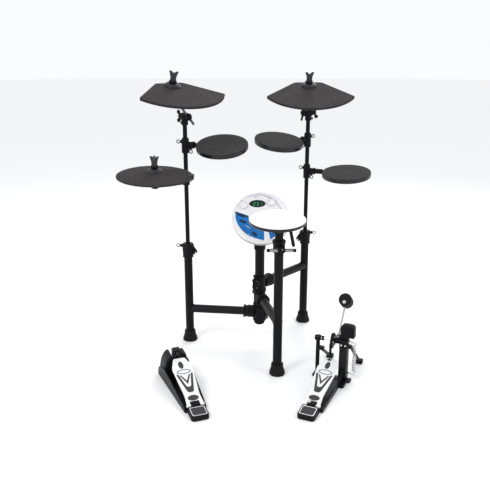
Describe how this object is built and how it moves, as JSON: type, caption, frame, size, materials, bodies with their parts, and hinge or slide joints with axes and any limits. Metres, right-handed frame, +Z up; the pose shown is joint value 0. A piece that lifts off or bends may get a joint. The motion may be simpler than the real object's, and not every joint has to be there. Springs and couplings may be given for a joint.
{
  "type": "electronic drum kit",
  "caption": "Compact electronic drum kit: folding tube rack, rubber drum and cymbal pads, round sound module, hi-hat pedal and kick pedal with beater.",
  "frame": {"origin": "middle of the bottom of the kit's bounding box, on the floor", "axes": "+Z up, +Y away from the player, +X to the player's right"},
  "size_m": [0.9408, 0.8308, 1.0413],
  "materials": {
    "satin_black_steel": "satin black powder coat",
    "joint_plastic": "black moulded plastic",
    "foot_rubber": "black rubber",
    "clamp_casting": "satin black casting",
    "stem_steel": "black oxide steel rod",
    "cymbal_rubber": "charcoal rubber over a plastic core",
    "topper_rubber": "dark grey moulded rubber",
    "pad_rim": "semi-gloss black moulded casing",
    "pad_rubber": "charcoal rubber playing surface",
    "snare_white": "white playing surface",
    "chrome_handle": "dark polished metal",
    "module_white": "white moulded plastic",
    "module_grey": "warm grey moulded plastic",
    "display_black": "black lens",
    "button_navy": "dark navy rubber keys",
    "knob_white": "white moulded knob",
    "board_green": "fibreglass circuit board",
    "pedal_black": "black moulded and coated parts",
    "footboard_silver": "cast aluminium, satin",
    "axle_steel": "bright steel",
    "beater_black": "black beater",
    "chain_black": "black strap",
    "spring_steel": "bright spring steel"
  },
  "bodies": {
    "hub": {"centre_post": "satin_black_steel", "module_mount": "clamp_casting"},
    "module": {"module_front_case": "module_white", "module_rear_case": "module_grey", "module_display": "display_black", "module_circuit_board": "board_green"},
    "module_buttons": {"module_buttons": "button_navy"},
    "module_knob_left": {"module_knob_left": "knob_white"},
    "module_knob_right": {"module_knob_right": "knob_white"},
    "left_arm": {"left_hub_joint": "joint_plastic", "left_leg_frame": "satin_black_steel", "left_foot": "foot_rubber", "left_leg_clamp": "joint_plastic"},
    "right_arm": {"right_hub_joint": "joint_plastic", "right_leg_frame": "satin_black_steel", "right_foot": "foot_rubber", "right_leg_clamp": "joint_plastic"},
    "front_arm": {"front_hub_joint": "joint_plastic", "front_leg_frame": "satin_black_steel", "front_foot": "foot_rubber", "front_leg_clamp": "joint_plastic"},
    "tee_handle": {"tee_handle": "chrome_handle"},
    "left_mast": {"left_pole": "satin_black_steel", "left_tilter": "clamp_casting"},
    "left_crash_stem": {"left_crash_rod": "stem_steel", "left_crash_topper": "topper_rubber"},
    "left_crash_pad": {"left_crash_pad": "cymbal_rubber"},
    "right_mast": {"right_pole": "satin_black_steel", "right_tilter": "clamp_casting"},
    "right_crash_stem": {"right_crash_rod": "stem_steel", "right_crash_topper": "topper_rubber"},
    "right_crash_pad": {"right_crash_pad": "cymbal_rubber"},
    "left_tom_clamp": {"left_tom_clamp": "clamp_casting"},
    "left_tom": {"left_tom_arm": "clamp_casting", "left_tom_shell": "pad_rim", "left_tom_head": "pad_rubber"},
    "right_tom_upper_clamp": {"right_tom_upper_clamp": "clamp_casting"},
    "right_tom_upper": {"right_tom_upper_arm": "clamp_casting", "right_tom_upper_shell": "pad_rim", "right_tom_upper_head": "pad_rubber"},
    "right_tom_lower_clamp": {"right_tom_lower_clamp": "clamp_casting"},
    "right_tom_lower": {"right_tom_lower_arm": "clamp_casting", "right_tom_lower_shell": "pad_rim", "right_tom_lower_head": "pad_rubber"},
    "hat_bracket": {"hat_bracket": "clamp_casting", "hat_topper": "topper_rubber"},
    "hat_pad": {"hat_pad": "cymbal_rubber"},
    "snare_post": {"snare_post": "satin_black_steel"},
    "snare": {"snare_shell": "pad_rim", "snare_head": "snare_white"},
    "hat_pedal": {"hat_pedal_base": "pedal_black", "hat_pedal_controller": "pedal_black"},
    "hat_footboard": {"hat_pedal_footboard": "footboard_silver"},
    "kick_pedal": {"kick_base": "pedal_black", "kick_trigger": "pedal_black", "kick_spring": "spring_steel"},
    "kick_footboard": {"kick_footboard": "footboard_silver", "kick_chain": "chain_black"},
    "kick_beater": {"kick_axle": "axle_steel", "kick_beater": "beater_black"}
  },
  "joints": [
    {"name": "left_arm_swing", "type": "hinge", "parent": "hub", "child": "left_arm", "pos_m": [0.03594, 0.1552, 0.133], "axis": [0, 0, 1], "range_deg": [-12, 12]},
    {"name": "right_arm_swing", "type": "hinge", "parent": "hub", "child": "right_arm", "pos_m": [0.03594, 0.1552, 0.25], "axis": [0, 0, 1], "range_deg": [-12, 12]},
    {"name": "front_arm_swing", "type": "hinge", "parent": "hub", "child": "front_arm", "pos_m": [0.03594, 0.1552, 0.198], "axis": [0, 0, 1], "range_deg": [-12, 12]},
    {"name": "left_mast_height", "type": "slide", "parent": "left_arm", "child": "left_mast", "axis": [0, 0, 1], "range_m": [-0.08, 0.06]},
    {"name": "left_crash_tilt", "type": "hinge", "parent": "left_mast", "child": "left_crash_stem", "pos_m": [-0.22353, 0.17445, 0.875], "axis": [0.7265, -0.6871, 0], "range_deg": [-15, 15]},
    {"name": "left_crash_rock", "type": "hinge", "parent": "left_crash_stem", "child": "left_crash_pad", "pos_m": [-0.27139, 0.12474, 0.9831], "axis": [0.848, 0.5299, 0.0081], "range_deg": [-4, 4], "stiffness_Nm_per_rad": 8},
    {"name": "right_mast_height", "type": "slide", "parent": "right_arm", "child": "right_mast", "axis": [0, 0, 1], "range_m": [-0.08, 0.06]},
    {"name": "right_crash_tilt", "type": "hinge", "parent": "right_mast", "child": "right_crash_stem", "pos_m": [0.20635, 0.37015, 0.873], "axis": [0.9793, 0.2022, 0], "range_deg": [-15, 15]},
    {"name": "right_crash_rock", "type": "hinge", "parent": "right_crash_stem", "child": "right_crash_pad", "pos_m": [0.21893, 0.30995, 0.97615], "axis": [1, 0, 0], "range_deg": [-4, 4], "stiffness_Nm_per_rad": 8},
    {"name": "left_tom_swivel", "type": "hinge", "parent": "left_mast", "child": "left_tom_clamp", "pos_m": [-0.23806, 0.1882, 0.773], "axis": [0, 0, 1], "range_deg": [-15, 15]},
    {"name": "left_tom_tilt", "type": "hinge", "parent": "left_tom_clamp", "child": "left_tom", "pos_m": [-0.10307, 0.1682, 0.773], "axis": [0.9892, -0.1465, 0], "range_deg": [-15, 18]},
    {"name": "right_tom_upper_swivel", "type": "hinge", "parent": "right_mast", "child": "right_tom_upper_clamp", "pos_m": [0.22593, 0.3742, 0.77], "axis": [0, 0, 1], "range_deg": [-15, 15]},
    {"name": "right_tom_upper_tilt", "type": "hinge", "parent": "right_tom_upper_clamp", "child": "right_tom_upper", "pos_m": [0.11094, 0.3202, 0.77], "axis": [0.9052, 0.425, 0], "range_deg": [-15, 18]},
    {"name": "right_tom_lower_swivel", "type": "hinge", "parent": "right_mast", "child": "right_tom_lower_clamp", "pos_m": [0.22593, 0.3742, 0.646], "axis": [0, 0, 1], "range_deg": [-15, 15]},
    {"name": "right_tom_lower_tilt", "type": "hinge", "parent": "right_tom_lower_clamp", "child": "right_tom_lower", "pos_m": [0.37494, 0.3142, 0.646], "axis": [0.9276, -0.3735, 0], "range_deg": [-15, 18]},
    {"name": "hat_swivel", "type": "hinge", "parent": "left_mast", "child": "hat_bracket", "pos_m": [-0.23806, 0.1882, 0.641], "axis": [0, 0, 1], "range_deg": [-15, 15]},
    {"name": "hat_rock", "type": "hinge", "parent": "hat_bracket", "child": "hat_pad", "pos_m": [-0.33591, 0.05976, 0.69698], "axis": [0.9995, 0.0028, -0.0302], "range_deg": [-3, 3], "stiffness_Nm_per_rad": 8},
    {"name": "snare_height", "type": "slide", "parent": "front_arm", "child": "snare_post", "axis": [0, 0, 1], "range_m": [-0.015, 0.06]},
    {"name": "snare_tilt", "type": "hinge", "parent": "snare_post", "child": "snare", "pos_m": [0.09394, -0.1008, 0.538], "axis": [1, 0, 0], "range_deg": [-8, 10]},
    {"name": "tee_handle_turn", "type": "hinge", "parent": "front_arm", "child": "tee_handle", "pos_m": [0.09993, -0.1348, 0.471], "axis": [0, 1, 0], "range_deg": [-90, 90]},
    {"name": "module_tilt", "type": "hinge", "parent": "hub", "child": "module", "pos_m": [0.03993, 0.1512, 0.486], "axis": [1, 0, 0], "range_deg": [-15, 20]},
    {"name": "module_button_press", "type": "slide", "parent": "module", "child": "module_buttons", "axis": [0, 0.7314, -0.682], "range_m": [0, 0.001], "stiffness_N_per_m": 400},
    {"name": "module_knob_left_turn", "type": "hinge", "parent": "module", "child": "module_knob_left", "pos_m": [-0.02454, 0.14662, 0.55469], "axis": [0, -0.7314, 0.682], "range_deg": [-140, 140]},
    {"name": "module_knob_right_turn", "type": "hinge", "parent": "module", "child": "module_knob_right", "pos_m": [0.07622, 0.15433, 0.56297], "axis": [0, -0.7314, 0.682], "range_deg": [-140, 140]},
    {"name": "hat_pedal_place", "type": "slide", "parent": "hub", "child": "hat_pedal", "axis": [-0.3469, 0.9379, 0], "range_m": [-0.05, 0.05]},
    {"name": "hat_footboard_press", "type": "hinge", "parent": "hat_pedal", "child": "hat_footboard", "pos_m": [-0.17758, -0.35065, 0.022], "axis": [0.9379, 0.3469, 0], "range_deg": [-9, 0], "stiffness_Nm_per_rad": 12, "springref_deg": 6.88},
    {"name": "kick_pedal_place", "type": "slide", "parent": "hub", "child": "kick_pedal", "axis": [0.4147, 0.91, 0], "range_m": [-0.05, 0.05]},
    {"name": "kick_footboard_press", "type": "hinge", "parent": "kick_pedal", "child": "kick_footboard", "pos_m": [0.19165, -0.35039, 0.022], "axis": [0.91, -0.4147, 0], "range_deg": [-6.5, 0], "stiffness_Nm_per_rad": 14, "springref_deg": 6.88, "deforming": ["kick_chain"]},
    {"name": "kick_beater_swing", "type": "hinge", "parent": "kick_pedal", "child": "kick_beater", "pos_m": [0.28951, -0.13564, 0.146], "axis": [0.91, -0.4147, 0], "range_deg": [-0.2, 38.2], "deforming": ["kick_spring"]}
  ],
  "couplings": [
    {"joint": "kick_beater_swing", "follows": "kick_footboard_press", "ratio": -5.85}
  ]
}
